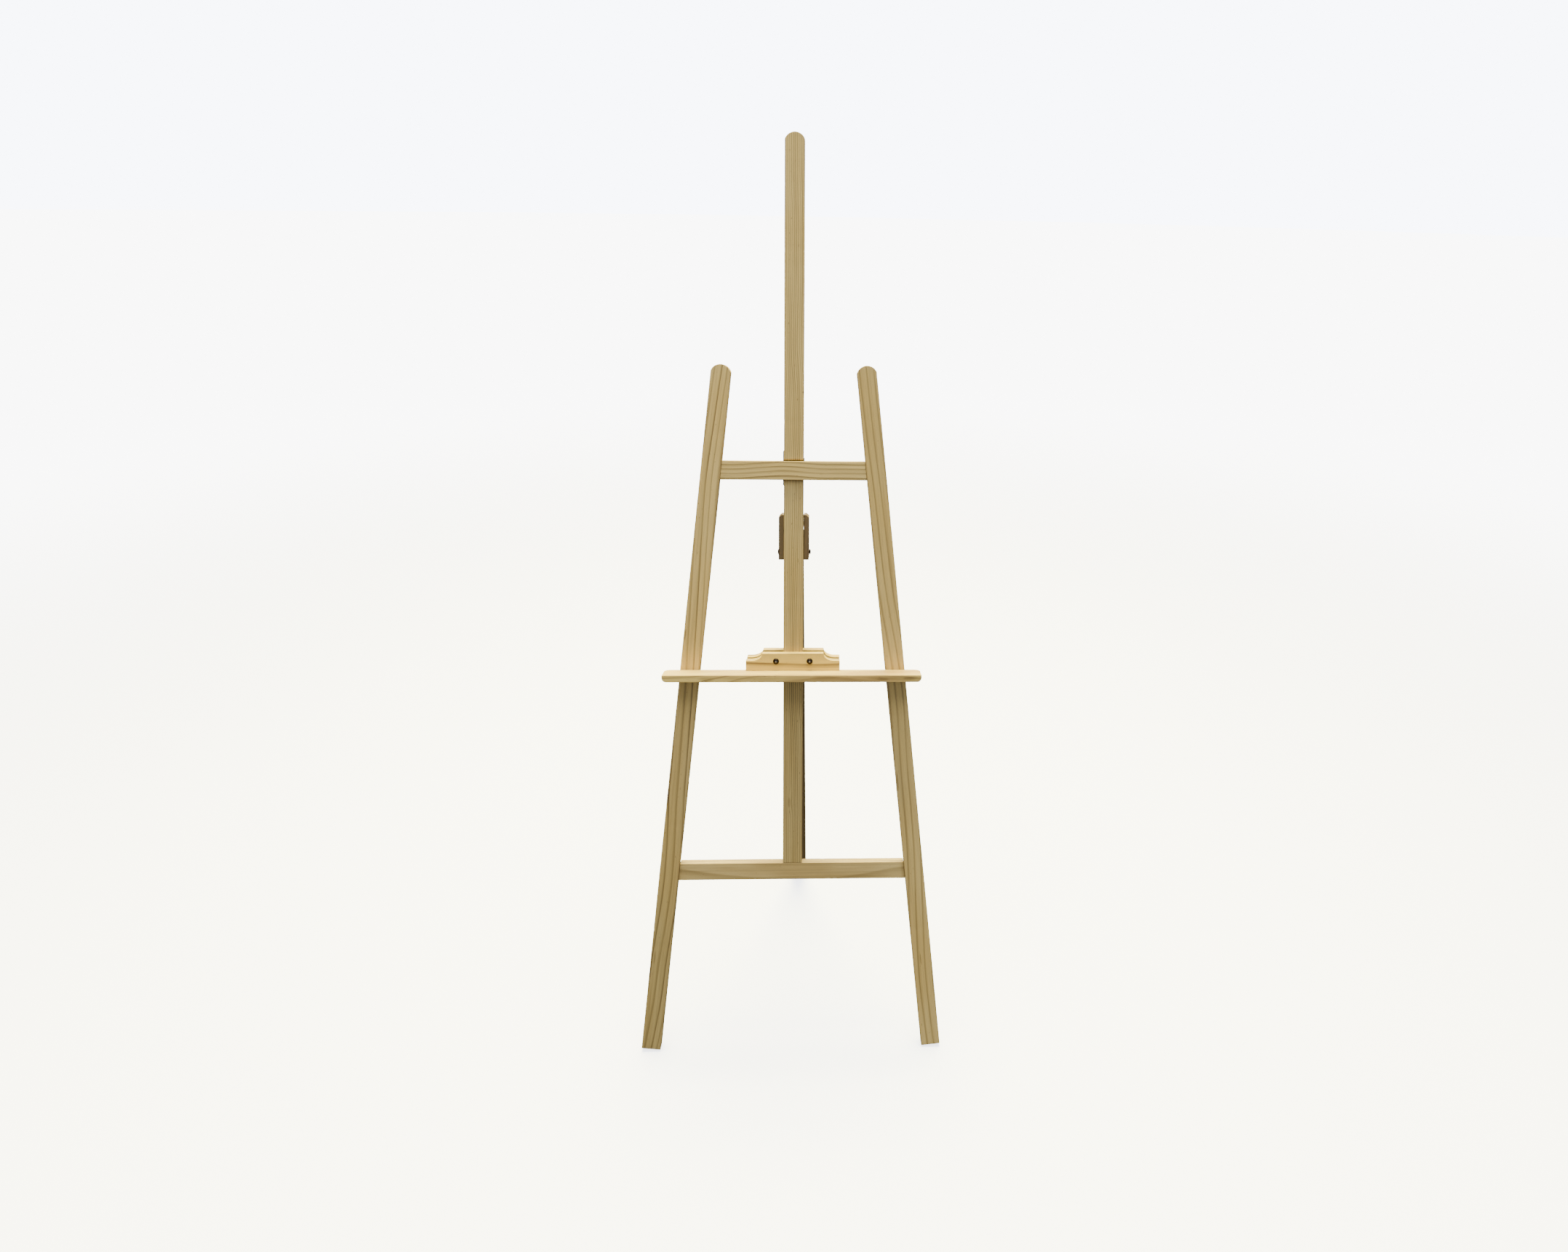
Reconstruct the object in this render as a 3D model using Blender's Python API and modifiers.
"""Wooden artist easel: an A-frame with a fixed mast, a clamped canvas shelf and a folding rear leg.

The front of the easel faces -Y and +Z is up. The front frame is modelled upright on the empty
'frame_plane', whose x runs across the easel, y runs backwards from the legs' front faces and z
runs up the frame. The empty then leans back, and everything stands on the floor at z = 0.
"""
import bpy
import bmesh
from math import atan2, cos, pi, radians, sin, sqrt, tan
from mathutils import Matrix, Vector

# Driving dimensions, in metres and radians
LEAN = radians(12.0)              # front frame, back from upright
OPEN_ANGLE = radians(27.0)        # rear leg, away from the front frame
GAP = 0.0003                      # between pieces that touch
EASE = 0.0008                     # rounding of sawn wooden edges

STICK_W = 0.036                   # legs, mast and rails, seen from the front
LEG_T = 0.020
LEG_LENGTH = 1.316
LEG_FOOT_X = 0.2697               # centre line of a leg at its foot
LEG_TOP_X = 0.1292                # and at its rounded top
TOP_RISE = 0.36 * STICK_W         # height of the round that ends a stick

MAST_T = 0.0175
MAST_FRONT = 0.0065
MAST_TOP = 1.717
RAIL_T = 0.017
LOWER_RAIL_TOP = 0.3686
LOWER_RAIL_H = 0.0325
UPPER_RAIL_TOP = 1.1347
UPPER_RAIL_H = 0.0343
UPPER_RAIL_FRONT = 0.0015
LAP_PLANE = 0.0105                # where rail and mast meet inside their lap joint

DOWEL_R = 0.003
DOWEL_LENGTH = 0.034
DOWEL_PITCH = 0.017
DOWEL_Y = 0.0130
FOOT_DOWEL_R = 0.004
FOOT_DOWEL_LENGTH = 0.036

SADDLE_T = 0.0012                 # steel round the mast at the upper rail
SADDLE_LEFT_REACH = (0.0105, 0.0180)   # left flange, below and above the rail
SADDLE_RIGHT_RISE = 0.0055
LAP_SCREW_RISE = 0.0095
LAP_SCREW_L = 0.0195

SHELF_TOP = 0.7475
SHELF_T = 0.013
SHELF_HALF = 0.236
SHELF_FRONT = -0.0372
SHELF_BACK = -0.0006
SHELF_CORNER = 0.010              # back corners, in plan
SHELF_END_R = 0.008               # lower corners, seen from the front
HOUSING = 0.0010                  # depth that the front plate is let into the shelf
SHELF_SCREW_X = 0.060
SHELF_SCREW_L = 0.026

PLATE_HALF = 0.0865
PLATE_TOP_HALF = 0.0565
PLATE_SHOULDER = 0.0095
PLATE_SIDE_H = 0.0190
PLATE_H = 0.0323
PLATE_FRONT = -0.0073
JAW_T = 0.017
JAW_DROP = 0.0018                 # rear plate, below the front one

BOLT_R = 0.003
BOLT_X = 0.031
BOLT_Z = SHELF_TOP + 0.0177
BOLT_END = 0.0580
BOLT_HEAD_R = 0.0056
BOLT_HEAD_H = 0.0030
WASHER_R = 0.0075
WASHER_T = 0.0014
NUT_BOSS_R = 0.0056
NUT_BOSS_H = 0.0070
NUT_WING_R = 0.0125
NUT_WING_H = 0.0125
NUT_WING_T = 0.0022

CHEEK_T = 0.0097
CHEEK_BOTTOM = 0.9494
CHEEK_TOP = 1.0340
CHEEK_CHAMFER = 0.0055
CHEEK_CORNER = 0.010
CHEEK_SCREWS = (("front", 0.0045), ("back", 0.0135))   # behind the cheek's front edge
CHEEK_SCREW_RISE = 0.009
CHEEK_SCREW_L = 0.0195
PIVOT_Y = 0.0540
PIVOT_Z = CHEEK_BOTTOM + 0.0105
PIVOT_R = 0.003
REAR_LEG_T = 0.018
BLOCK_DEPTH = 0.018
BLOCK_SCREW_X = 0.009
BLOCK_SCREW_L = 0.030

# Worked out from the dimensions above
MAST_BACK = MAST_FRONT + MAST_T
LEG_SLOPE = atan2(LEG_FOOT_X - LEG_TOP_X, LEG_LENGTH)
PLATE_BACK = MAST_FRONT - GAP
JAW_FRONT = MAST_BACK + GAP
JAW_BACK = JAW_FRONT + JAW_T
CHEEK_X = STICK_W / 2 + GAP       # inner face of a cheek
CHEEK_FRONT = MAST_BACK + GAP
CHEEK_BACK = PIVOT_Y + 0.0115
LEG_ANGLE = OPEN_ANGLE - LEAN     # open rear leg, back from upright
FLOOR = -(STICK_W / 2 * sin(LEG_SLOPE) * cos(LEAN) + LEG_T * sin(LEAN))
PIVOT_HEIGHT = PIVOT_Z * cos(LEAN) - PIVOT_Y * sin(LEAN) - FLOOR
REAR_LEG_REACH = (PIVOT_HEIGHT - REAR_LEG_T / 2 * sin(LEG_ANGLE)) / cos(LEG_ANGLE)
# The head of the opened rear leg leans on the back of the mast
REAR_LEG_HEAD = (PIVOT_Y - REAR_LEG_T / 2 * cos(OPEN_ANGLE) - CHEEK_FRONT) / sin(OPEN_ANGLE)
BLOCK_BOTTOM = PIVOT_Z + REAR_LEG_HEAD + 0.0012

MATERIALS = {
    "pine": ((0.55, 0.40, 0.15), 0.55, 0.0),
    "shelf_pine": ((0.64, 0.47, 0.17), 0.50, 0.0),
    "dark_wood": ((0.26, 0.18, 0.09), 0.55, 0.0),
    "dowel_wood": ((0.60, 0.46, 0.22), 0.60, 0.0),
    "black_steel": ((0.015, 0.014, 0.013), 0.40, 1.0),
    "zinc": ((0.55, 0.55, 0.53), 0.35, 1.0),
}


# Scene helpers

def clear_scene():
    for item in list(bpy.data.objects):
        bpy.data.objects.remove(item, do_unlink=True)
    for group in list(bpy.data.collections):
        bpy.data.collections.remove(group)


def new_collection(name):
    group = bpy.data.collections.new(name)
    bpy.context.scene.collection.children.link(group)
    return group


def finish_for(obj, finish):
    """Give an object its own copy of a named finish."""
    colour, roughness, metallic = MATERIALS[finish]
    material = bpy.data.materials.new(obj.name + "_" + finish)
    material.use_nodes = True
    shader = material.node_tree.nodes["Principled BSDF"]
    shader.inputs["Base Color"].default_value = (*colour, 1.0)
    shader.inputs["Roughness"].default_value = roughness
    shader.inputs["Metallic"].default_value = metallic
    obj.data.materials.clear()
    obj.data.materials.append(material)


def add_empty(name, parent=None, location=(0, 0, 0), rotation=(0, 0, 0)):
    empty = bpy.data.objects.new(name, None)
    empty.location = location
    empty.rotation_euler = rotation
    empty.parent = parent
    PARTS.objects.link(empty)
    return empty


def add_object(name, mesh, parent, finish=None, location=(0, 0, 0), rotation=(0, 0, 0)):
    """Link a mesh as a sub-part, or as a hidden cutter when it has no finish."""
    obj = bpy.data.objects.new(name, mesh)
    obj.parent = parent
    obj.location = location
    obj.rotation_euler = rotation
    if finish:
        PARTS.objects.link(obj)
        finish_for(obj, finish)
    else:
        CUTTERS.objects.link(obj)
        obj.hide_render = True
        obj.display_type = 'WIRE'
    return obj


def shade(obj, angle=radians(35)):
    obj.data.shade_smooth()
    obj.data.set_sharp_from_angle(angle=angle)


def ease_edges(obj, width=EASE, segments=2):
    bevel = obj.modifiers.new("eased_edges", 'BEVEL')
    bevel.width = width
    bevel.segments = segments
    bevel.limit_method = 'ANGLE'
    bevel.angle_limit = radians(40)


def boolean(obj, other, operation):
    step = obj.modifiers.new(operation.lower() + "_" + other.name, 'BOOLEAN')
    step.operation = operation
    step.solver = 'EXACT'
    step.object = other


# Mesh makers

def box_mesh(name, low, high):
    """A box between two corners."""
    mesh = bpy.data.meshes.new(name)
    shape = bmesh.new()
    bmesh.ops.create_cube(shape, size=1.0)
    low = Vector(low)
    high = Vector(high)
    bmesh.ops.scale(shape, vec=high - low, verts=shape.verts)
    bmesh.ops.translate(shape, vec=(low + high) / 2, verts=shape.verts)
    shape.to_mesh(mesh)
    shape.free()
    return mesh


def rod_mesh(name, radius, start, end, sides=24):
    """A round rod between two points."""
    start = Vector(start)
    end = Vector(end)
    mesh = bpy.data.meshes.new(name)
    shape = bmesh.new()
    bmesh.ops.create_cone(shape, cap_ends=True, segments=sides, radius1=radius, radius2=radius,
                          depth=(end - start).length)
    turn = (end - start).to_track_quat('Z', 'Y').to_matrix().to_4x4()
    bmesh.ops.transform(shape, matrix=Matrix.Translation((start + end) / 2) @ turn, verts=shape.verts)
    shape.to_mesh(mesh)
    shape.free()
    return mesh


def outline_mesh(name, points, thickness, turn=Matrix.Identity(4)):
    """A flat plate: an outline in x and z, from y = 0 back to the thickness."""
    curve = bpy.data.curves.new(name, 'CURVE')
    curve.dimensions = '2D'
    curve.fill_mode = 'BOTH'
    curve.extrude = thickness / 2
    spline = curve.splines.new('POLY')
    spline.points.add(len(points) - 1)
    for point, (x, z) in zip(spline.points, points):
        point.co = (x, z, 0.0, 1.0)
    spline.use_cyclic_u = True
    drawn = bpy.data.objects.new(name + "_curve", curve)
    bpy.context.scene.collection.objects.link(drawn)
    depsgraph = bpy.context.evaluated_depsgraph_get()
    mesh = bpy.data.meshes.new_from_object(drawn.evaluated_get(depsgraph))
    bpy.data.objects.remove(drawn, do_unlink=True)
    bpy.data.curves.remove(curve)
    mesh.transform(turn @ Matrix.Translation((0, thickness / 2, 0)) @ Matrix.Rotation(pi / 2, 4, 'X'))
    shape = bmesh.new()
    shape.from_mesh(mesh)
    bmesh.ops.remove_doubles(shape, verts=shape.verts, dist=0.00001)
    bmesh.ops.dissolve_limit(shape, angle_limit=radians(0.5), verts=shape.verts, edges=shape.edges)
    bmesh.ops.recalc_face_normals(shape, faces=shape.faces)
    shape.to_mesh(mesh)
    shape.free()
    mesh.name = name
    return mesh


def turned_mesh(name, profile, sides=24):
    """A solid turned about Z from a profile of (radius, z) points, from its top down to its bottom."""
    mesh = bpy.data.meshes.new(name)
    shape = bmesh.new()
    verts = [shape.verts.new((radius, 0.0, z)) for radius, z in profile]
    edges = [shape.edges.new(pair) for pair in zip(verts, verts[1:])]
    bmesh.ops.spin(shape, geom=verts + edges, axis=(0, 0, 1), cent=(0, 0, 0), angle=2 * pi,
                   steps=sides, use_merge=True)
    bmesh.ops.remove_doubles(shape, verts=shape.verts, dist=0.00001)
    bmesh.ops.recalc_face_normals(shape, faces=shape.faces)
    shape.to_mesh(mesh)
    shape.free()
    return mesh


def arc(centre, radius, start, end, steps):
    """Points on an arc of a circle or, with two radii, of an ellipse; angles in radians."""
    radius_x, radius_z = radius if isinstance(radius, tuple) else (radius, radius)
    turns = [start + (end - start) * step / steps for step in range(steps + 1)]
    return [(centre[0] + radius_x * cos(t), centre[1] + radius_z * sin(t)) for t in turns]


# Wooden sticks

def round_top(width, top):
    """The round end of a stick, from its right shoulder over the top to its left shoulder."""
    half = width / 2
    radius = (half ** 2 + TOP_RISE ** 2) / (2 * TOP_RISE)
    reach = atan2(half, radius - TOP_RISE)
    return arc((0.0, top - radius), radius, pi / 2 - reach, pi / 2 + reach, 14)


def add_leg(side, name):
    """One front leg, leaning in towards the mast, with its axis in the frame's plane."""
    outline = [(-STICK_W / 2, 0.0), (STICK_W / 2, 0.0)] + round_top(STICK_W, LEG_LENGTH)
    mesh = outline_mesh(name, outline, LEG_T)
    leg = add_object(name, mesh, FRAME, "pine", (side * LEG_FOOT_X, 0, 0), (0, -side * LEG_SLOPE, 0))
    ease_edges(leg)
    return leg


def leg_inner_x(z):
    """Distance of a leg's inner side from the middle of the frame, at a height."""
    centre = LEG_FOOT_X - tan(LEG_SLOPE) * z
    return centre - STICK_W / 2 / cos(LEG_SLOPE)


def add_rail(name, top, height, front):
    """A cross rail whose ends meet the leaning legs."""
    bottom = top - height
    half_bottom = leg_inner_x(bottom) - GAP
    half_top = leg_inner_x(top) - GAP
    outline = [(-half_bottom, bottom), (half_bottom, bottom), (half_top, top), (-half_top, top)]
    mesh = outline_mesh(name, outline, RAIL_T)
    rail = add_object(name, mesh, FRAME, "pine", (0, front, 0))
    ease_edges(rail)
    return rail


def add_dowels(rail, legs, level, middle):
    """Two dowels in each end of a rail, and their holes in the rail and the legs."""
    for side, leg in legs.items():
        for place, rise in (("lower", -DOWEL_PITCH / 2), ("upper", DOWEL_PITCH / 2)):
            z = middle + rise
            seam = leg_inner_x(z)
            name = "_".join(("dowel", level, "rail", "left" if side < 0 else "right", place))
            start = (side * (seam - DOWEL_LENGTH / 2), DOWEL_Y, z)
            end = (side * (seam + DOWEL_LENGTH / 2), DOWEL_Y, z)
            dowel = add_object(name, rod_mesh(name, DOWEL_R, start, end, 20), FRAME, "dowel_wood")
            shade(dowel)
            reach = DOWEL_LENGTH / 2 + GAP
            hole_start = (side * (seam - reach), DOWEL_Y, z)
            hole_end = (side * (seam + reach), DOWEL_Y, z)
            hole = rod_mesh(name + "_hole", DOWEL_R + GAP, hole_start, hole_end, 20)
            cutter = add_object(name + "_hole", hole, FRAME)
            boolean(rail, cutter, 'DIFFERENCE')
            boolean(leg, cutter, 'DIFFERENCE')


def add_mast():
    bottom = LOWER_RAIL_TOP + GAP
    outline = [(-STICK_W / 2, bottom), (STICK_W / 2, bottom)] + round_top(STICK_W, MAST_TOP)
    mast = add_object("mast", outline_mesh("mast", outline, MAST_T), FRAME, "pine", (0, MAST_FRONT, 0))
    ease_edges(mast)
    return mast


def add_foot_dowel(mast, rail):
    """The dowel that keeps the mast's foot on the lower rail."""
    y = MAST_FRONT + MAST_T / 2
    low = LOWER_RAIL_TOP - FOOT_DOWEL_LENGTH / 2
    high = LOWER_RAIL_TOP + FOOT_DOWEL_LENGTH / 2
    mesh = rod_mesh("mast_foot_dowel", FOOT_DOWEL_R, (0, y, low), (0, y, high), 20)
    dowel = add_object("mast_foot_dowel", mesh, FRAME, "dowel_wood")
    shade(dowel)
    hole = rod_mesh("foot_hole", FOOT_DOWEL_R + GAP, (0, y, low - GAP), (0, y, high + GAP), 20)
    cutter = add_object("foot_hole", hole, FRAME)
    boolean(mast, cutter, 'DIFFERENCE')
    boolean(rail, cutter, 'DIFFERENCE')


# Screws and bolts

def cross_recess(parent, name, size, depth, location, rotation):
    """A cutter for the cross in a screw's head, centred on the head's outer face."""
    mesh = box_mesh(name, (-size / 2, -size / 7, -depth), (size / 2, size / 7, depth))
    bar = add_object(name, mesh, parent, None, location, rotation)
    other = box_mesh(name + "_2", (-size / 7, -size / 2, -depth), (size / 7, size / 2, depth))
    cross = add_object(name + "_2", other, parent, None, location, rotation)
    return bar, cross


def add_wood_screw(name, parent, wood, location, rotation, length, radius=0.0019, finish="black_steel"):
    """A countersunk screw whose flat head faces local +Z at its location, and its hole in the wood."""
    head_r = 2.05 * radius
    head_h = head_r - radius
    profile = [(0, 0), (head_r, 0), (head_r, -0.0004), (radius, -0.0004 - head_h),
               (radius, -length + 0.004), (0, -length)]
    screw = add_object(name, turned_mesh(name, profile, 20), parent, finish, location, rotation)
    shade(screw)
    for cutter in cross_recess(parent, name + "_cross", 1.3 * head_r, 0.0011, location, rotation):
        boolean(screw, cutter, 'DIFFERENCE')
    hole = [(0, 0.002), (head_r + GAP, 0.002), (head_r + GAP, -0.0004), (radius + GAP, -0.0004 - head_h),
            (radius + GAP, -length + 0.004), (0, -length - GAP)]
    cutter = add_object(name + "_hole", turned_mesh(name + "_hole", hole, 20), parent, None,
                        location, rotation)
    for piece in wood:
        boolean(piece, cutter, 'DIFFERENCE')
    return screw


def add_clamp_bolt(name, x, wood):
    """A machine bolt through both clamp plates, with a round cross-recessed head at the front."""
    length = BOLT_END - PLATE_FRONT
    dome = [(BOLT_HEAD_R * sin(t), BOLT_HEAD_H * cos(t)) for t in (0, 0.35, 0.7, 1.05, 1.35)]
    profile = dome + [(BOLT_HEAD_R, GAP), (BOLT_R, GAP), (BOLT_R, -length + 0.0005),
                      (BOLT_R - 0.0005, -length), (0, -length)]
    turn = (pi / 2, 0, 0)
    place = (x, PLATE_FRONT, BOLT_Z)
    bolt = add_object(name, turned_mesh(name, profile, 28), TRAY, "black_steel", place, turn)
    shade(bolt)
    top = (x, PLATE_FRONT - BOLT_HEAD_H, BOLT_Z)
    for cutter in cross_recess(TRAY, name + "_cross", 1.05 * BOLT_HEAD_R, 0.0015, top, turn):
        boolean(bolt, cutter, 'DIFFERENCE')
    hole = rod_mesh(name + "_hole", BOLT_R + GAP, (x, PLATE_FRONT - 0.01, BOLT_Z),
                    (x, JAW_BACK + 0.01, BOLT_Z), 24)
    cutter = add_object(name + "_hole", hole, TRAY)
    for piece in wood:
        boolean(piece, cutter, 'DIFFERENCE')


# Upper rail joint

def add_lap_joint(mast, rail):
    """Half-lap of mast and upper rail, with the steel saddle between them and two screws."""
    middle = UPPER_RAIL_TOP - UPPER_RAIL_H / 2
    low = UPPER_RAIL_TOP - UPPER_RAIL_H
    side = STICK_W / 2 + GAP + SADDLE_T
    rail_notch = box_mesh("rail_notch", (-side - GAP, LAP_PLANE - SADDLE_T - GAP, low - 0.01),
                          (side + GAP, 0.03, UPPER_RAIL_TOP + 0.01))
    boolean(rail, add_object("rail_notch", rail_notch, FRAME), 'DIFFERENCE')
    mast_notch = box_mesh("mast_notch", (-0.03, 0.0, low - 2 * GAP),
                          (0.03, LAP_PLANE + GAP, UPPER_RAIL_TOP + SADDLE_T + GAP))
    boolean(mast, add_object("mast_notch", mast_notch, FRAME), 'DIFFERENCE')
    saddle = add_saddle(low, side)
    for place, rise in (("upper", LAP_SCREW_RISE), ("lower", -LAP_SCREW_RISE)):
        add_wood_screw("mast_screw_" + place, FRAME, (mast, rail, saddle),
                       (0, MAST_BACK - GAP, middle + rise), (-pi / 2, 0, 0), LAP_SCREW_L, finish="zinc")


def add_saddle(low, side):
    """A steel strap in front of the mast, with a flange folded back along each side of it."""
    front = LAP_PLANE - SADDLE_T
    back = MAST_BACK - 0.002
    inner = side - SADDLE_T
    bottom = low + 0.002
    below, above = SADDLE_LEFT_REACH
    web = box_mesh("mast_saddle", (-side, front, bottom), (side, LAP_PLANE, UPPER_RAIL_TOP + SADDLE_T))
    saddle = add_object("mast_saddle", web, FRAME, "black_steel")
    left = box_mesh("saddle_left", (-side, front, low - below), (-inner, back, UPPER_RAIL_TOP + above))
    top = UPPER_RAIL_TOP + SADDLE_RIGHT_RISE
    right = box_mesh("saddle_right", (inner, front, bottom), (side, back, top))
    for name, mesh in (("saddle_left", left), ("saddle_right", right)):
        flange = add_object(name, mesh, FRAME)
        boolean(saddle, flange, 'UNION')
    return saddle


# Canvas shelf and its clamp

def shelf_outline():
    """Plan of the shelf: round back corners, and a tongue that runs back under the clamp plate."""
    corner = SHELF_CORNER
    middle_y = SHELF_BACK - corner
    tip = PLATE_BACK - GAP
    right = arc((SHELF_HALF - corner, middle_y), corner, 0, pi / 2, 6)
    left = arc((-SHELF_HALF + corner, middle_y), corner, pi / 2, pi, 6)
    tongue = [(PLATE_HALF, SHELF_BACK), (PLATE_HALF, tip), (-PLATE_HALF, tip), (-PLATE_HALF, SHELF_BACK)]
    return [(-SHELF_HALF, SHELF_FRONT), (SHELF_HALF, SHELF_FRONT)] + right + tongue + left


def shelf_front_outline():
    """The shelf seen from the front: square upper corners and round lower ones."""
    corner = SHELF_END_R
    right = arc((SHELF_HALF - corner, corner - SHELF_T), corner, -pi / 2, 0, 6)
    left = [(-x, z) for x, z in reversed(right)]
    return left + right + [(SHELF_HALF, 0.001), (-SHELF_HALF, 0.001)]


def add_shelf():
    flat = Matrix.Rotation(-pi / 2, 4, 'X')
    mesh = outline_mesh("canvas_shelf", shelf_outline(), SHELF_T, flat)
    shelf = add_object("canvas_shelf", mesh, TRAY, "shelf_pine", (0, 0, SHELF_TOP))
    depth = 0.1
    ends = outline_mesh("shelf_ends", shelf_front_outline(), depth)
    boolean(shelf, add_object("shelf_ends", ends, TRAY, None, (0, -depth / 2, SHELF_TOP)), 'INTERSECT')
    ease_edges(shelf, 0.0012, 2)
    half = PLATE_HALF + GAP
    housing = box_mesh("shelf_housing", (-half, PLATE_FRONT - GAP, SHELF_TOP - HOUSING),
                       (half, MAST_FRONT + 0.01, SHELF_TOP + 0.01))
    boolean(shelf, add_object("shelf_housing", housing, TRAY), 'DIFFERENCE')
    return shelf


def plate_outline():
    """Clamp plate: a flat top that drops by a cove to a shoulder at each end."""
    foot = GAP - HOUSING
    cove_x = PLATE_HALF - PLATE_SHOULDER
    radii = (cove_x - PLATE_TOP_HALF, PLATE_H - PLATE_SIDE_H)
    right = arc((cove_x, PLATE_H), radii, -pi / 2, -pi, 10)
    left = [(-x, z) for x, z in reversed(right)]
    start = [(-PLATE_HALF, foot), (PLATE_HALF, foot), (PLATE_HALF, PLATE_SIDE_H)]
    return start + right + left + [(-PLATE_HALF, PLATE_SIDE_H)]


def add_plate(name, front, thickness, parent, drop=0.0):
    mesh = outline_mesh(name, plate_outline(), thickness)
    plate = add_object(name, mesh, parent, "shelf_pine", (0, front, SHELF_TOP - drop))
    ease_edges(plate, 0.0007, 2)
    return plate


def add_tray():
    shelf = add_shelf()
    front_plate = add_plate("clamp_front_plate", PLATE_FRONT, PLATE_BACK - PLATE_FRONT, TRAY)
    rear_plate = add_plate("clamp_rear_plate", JAW_FRONT, JAW_T, JAW, JAW_DROP)
    middle = (PLATE_FRONT + PLATE_BACK) / 2
    for place, x in (("left", -SHELF_SCREW_X), ("middle", 0.0), ("right", SHELF_SCREW_X)):
        add_wood_screw("shelf_screw_" + place, TRAY, (shelf, front_plate),
                       (x, middle, SHELF_TOP - SHELF_T + GAP), (pi, 0, 0), SHELF_SCREW_L, finish="zinc")
    for place, x in (("left", -BOLT_X), ("right", BOLT_X)):
        add_clamp_bolt("clamp_bolt_" + place, x, (front_plate, rear_plate))
        add_washer("clamp_washer_" + place, x)
        add_wing_nut("wing_nut_" + place, x)


def add_washer(name, x):
    start = JAW_BACK + GAP
    mesh = rod_mesh(name, WASHER_R, (x, start, BOLT_Z), (x, start + WASHER_T, BOLT_Z), 28)
    washer = add_object(name, mesh, JAW, "zinc")
    hole = rod_mesh(name + "_hole", BOLT_R + GAP, (x, start - 0.01, BOLT_Z), (x, start + 0.01, BOLT_Z), 24)
    boolean(washer, add_object(name + "_hole", hole, JAW), 'DIFFERENCE')
    shade(washer)


def wing_outline():
    """Both wings of a nut, seen along its thickness: x is across the nut, z along its axis."""
    lobe_r = 0.0042
    lobe = arc((NUT_WING_R - lobe_r, NUT_WING_H - lobe_r), lobe_r, -pi / 6, pi * 0.72, 10)
    waist = [(NUT_BOSS_R - 0.001, NUT_BOSS_H - 0.0015)]
    right = [(NUT_BOSS_R - 0.0012, 0.0012), (NUT_BOSS_R + 0.0012, 0.0026)] + lobe + waist
    left = [(-x, z) for x, z in reversed(right)]
    return right + left


def add_wing_nut(name, x):
    """A wing nut with its axis on the bolt and its origin on the washer's face."""
    place = (x, JAW_BACK + 2 * GAP + WASHER_T, BOLT_Z)
    boss_profile = [(0, NUT_BOSS_H), (NUT_BOSS_R - 0.0012, NUT_BOSS_H),
                    (NUT_BOSS_R - 0.0004, NUT_BOSS_H - 0.001), (NUT_BOSS_R, 0.0006),
                    (NUT_BOSS_R - 0.0003, 0), (0, 0)]
    pivot = add_empty(name + "_axis", JAW, place, (-pi / 2, 0, 0))
    nut = add_object(name, turned_mesh(name, boss_profile, 28), pivot, "zinc")
    centred = Matrix.Translation((0, -NUT_WING_T / 2, 0))
    wings = outline_mesh(name + "_wings", wing_outline(), NUT_WING_T, centred)
    boolean(nut, add_object(name + "_wings", wings, pivot), 'UNION')
    hole = rod_mesh(name + "_thread", BOLT_R + GAP, (0, 0, -0.01), (0, 0, 0.03), 24)
    boolean(nut, add_object(name + "_thread", hole, pivot), 'DIFFERENCE')
    shade(nut)


# Rear leg and its hinge

def add_hinge_block(mast):
    half = STICK_W / 2
    back = CHEEK_FRONT + BLOCK_DEPTH
    mesh = box_mesh("hinge_block", (-half, CHEEK_FRONT, BLOCK_BOTTOM), (half, back, CHEEK_TOP))
    block = add_object("hinge_block", mesh, FRAME, "dark_wood")
    ease_edges(block)
    middle = (BLOCK_BOTTOM + CHEEK_TOP) / 2
    for place, x in (("left", -BLOCK_SCREW_X), ("right", BLOCK_SCREW_X)):
        add_wood_screw("block_screw_" + place, FRAME, (block, mast), (x, back - GAP, middle),
                       (-pi / 2, 0, 0), BLOCK_SCREW_L)
    return block


def add_cheek(side, place, block):
    """A side plate of the hinge: round at its back corners, chamfered along its outer top edge."""
    name = "hinge_cheek_" + place
    depth = CHEEK_BACK - CHEEK_FRONT
    height = CHEEK_TOP - CHEEK_BOTTOM
    outer = side * (CHEEK_X + CHEEK_T)
    low = arc((depth - CHEEK_CORNER, CHEEK_CORNER), CHEEK_CORNER, -pi / 2, 0, 6)
    high = arc((depth - CHEEK_CORNER, height - CHEEK_CORNER), CHEEK_CORNER, 0, pi / 2, 6)
    outline = [(0.0, 0.0)] + low + high + [(0.0, height)]
    mesh = outline_mesh(name, outline, CHEEK_T, Matrix.Rotation(pi / 2, 4, 'Z'))
    right_face = max(outer, outer - side * CHEEK_T)
    cheek = add_object(name, mesh, FRAME, "dark_wood", (right_face, CHEEK_FRONT, CHEEK_BOTTOM))
    ease_edges(cheek)
    size = CHEEK_CHAMFER * sqrt(2)
    wedge = box_mesh(name + "_chamfer", (-size / 2, -0.05, -size / 2), (size / 2, 0.05, size / 2))
    corner = (outer, (CHEEK_FRONT + CHEEK_BACK) / 2, CHEEK_TOP)
    cutter = add_object(name + "_chamfer", wedge, FRAME, None, corner, (0, pi / 4, 0))
    boolean(cheek, cutter, 'DIFFERENCE')
    for row, inset in CHEEK_SCREWS:
        at = (outer - side * GAP, CHEEK_FRONT + inset, BLOCK_BOTTOM + CHEEK_SCREW_RISE)
        add_wood_screw("_".join(("cheek_screw", place, row)), FRAME, (cheek, block), at,
                       (0, side * pi / 2, 0), CHEEK_SCREW_L)
    return cheek


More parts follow.
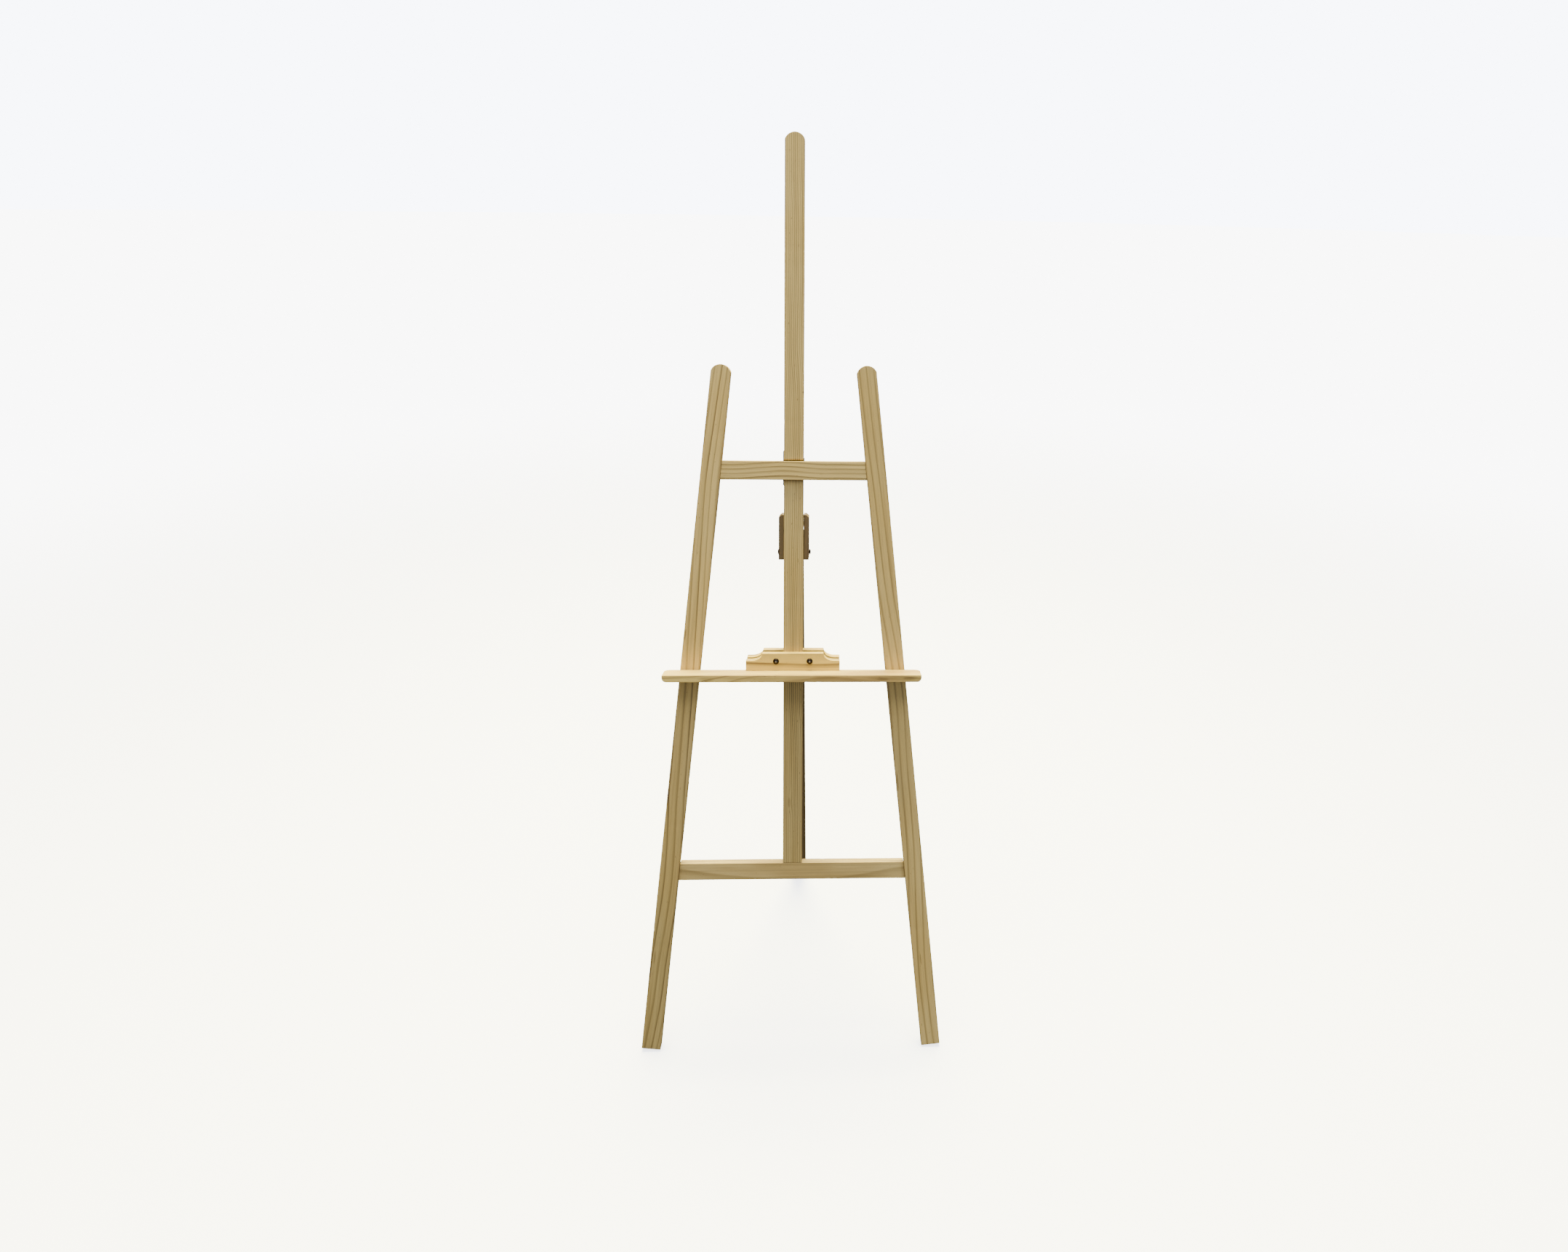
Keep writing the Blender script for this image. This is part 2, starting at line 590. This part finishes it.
def add_rear_leg(cheeks):
    """The rear leg hangs on the pivot bolt; its origin is on the bolt's axis."""
    half = STICK_W / 2
    low = (-half, -REAR_LEG_T / 2, -REAR_LEG_REACH)
    high = (half, REAR_LEG_T / 2, REAR_LEG_HEAD)
    mesh = box_mesh("rear_leg", low, high)
    leg = add_object("rear_leg", mesh, HINGE, "dark_wood")
    ease_edges(leg)
    end = CHEEK_X + CHEEK_T + GAP
    bore = rod_mesh("pivot_hole", PIVOT_R + GAP, (-0.05, 0, 0), (0.05, 0, 0), 24)
    hole = add_object("pivot_hole", bore, HINGE)
    for piece in (leg, *cheeks):
        boolean(piece, hole, 'DIFFERENCE')
    profile = [(0, 0.0026), (0.0036, 0.0024), (0.0056, 0.0014), (0.0060, 0), (PIVOT_R, 0),
               (PIVOT_R, -2 * end - 0.0008), (0, -2 * end - 0.0008)]
    bolt = add_object("pivot_bolt", turned_mesh("pivot_bolt", profile, 28), FRAME, "black_steel",
                      (-end, PIVOT_Y, PIVOT_Z), (0, -pi / 2, 0))
    shade(bolt)
    cap = [(0, 0.0030), (0.0030, 0.0027), (0.0052, 0.0014), (0.0056, 0), (PIVOT_R + GAP, 0),
           (PIVOT_R + GAP, 0.0012), (0, 0.0012)]
    nut = add_object("pivot_cap_nut", turned_mesh("pivot_cap_nut", cap, 28), FRAME, "black_steel",
                     (end, PIVOT_Y, PIVOT_Z), (0, pi / 2, 0))
    shade(nut)


def stand_on_floor():
    """Move the whole easel so that its feet are at z = 0 and its box is centred on the origin."""
    bpy.context.view_layer.update()
    depsgraph = bpy.context.evaluated_depsgraph_get()
    places = []
    for obj in PARTS.objects:
        if obj.type == 'MESH':
            solid = obj.evaluated_get(depsgraph)
            places += [solid.matrix_world @ vertex.co for vertex in solid.data.vertices]
    ys = [place.y for place in places]
    lowest = min(place.z for place in places)
    FRAME.location = (0.0, -(min(ys) + max(ys)) / 2, -lowest)
    bpy.context.view_layer.update()


clear_scene()
PARTS = new_collection("wooden_easel")
CUTTERS = new_collection("cutters")
FRAME = add_empty("frame_plane", rotation=(-LEAN, 0, 0))
TRAY = add_empty("tray_slide", FRAME)
JAW = add_empty("jaw_slide", TRAY)
HINGE = add_empty("rear_leg_axis", FRAME, (0, PIVOT_Y, PIVOT_Z), (OPEN_ANGLE, 0, 0))

LEGS = {-1: add_leg(-1, "leg_left"), 1: add_leg(1, "leg_right")}
UPPER_RAIL = add_rail("upper_rail", UPPER_RAIL_TOP, UPPER_RAIL_H, UPPER_RAIL_FRONT)
LOWER_RAIL = add_rail("lower_rail", LOWER_RAIL_TOP, LOWER_RAIL_H, MAST_FRONT)
MAST = add_mast()
add_dowels(UPPER_RAIL, LEGS, "upper", UPPER_RAIL_TOP - UPPER_RAIL_H / 2)
add_dowels(LOWER_RAIL, LEGS, "lower", LOWER_RAIL_TOP - LOWER_RAIL_H / 2)
add_foot_dowel(MAST, LOWER_RAIL)
add_lap_joint(MAST, UPPER_RAIL)
add_tray()
BLOCK = add_hinge_block(MAST)
CHEEKS = (add_cheek(-1, "left", BLOCK), add_cheek(1, "right", BLOCK))
add_rear_leg(CHEEKS)
stand_on_floor()
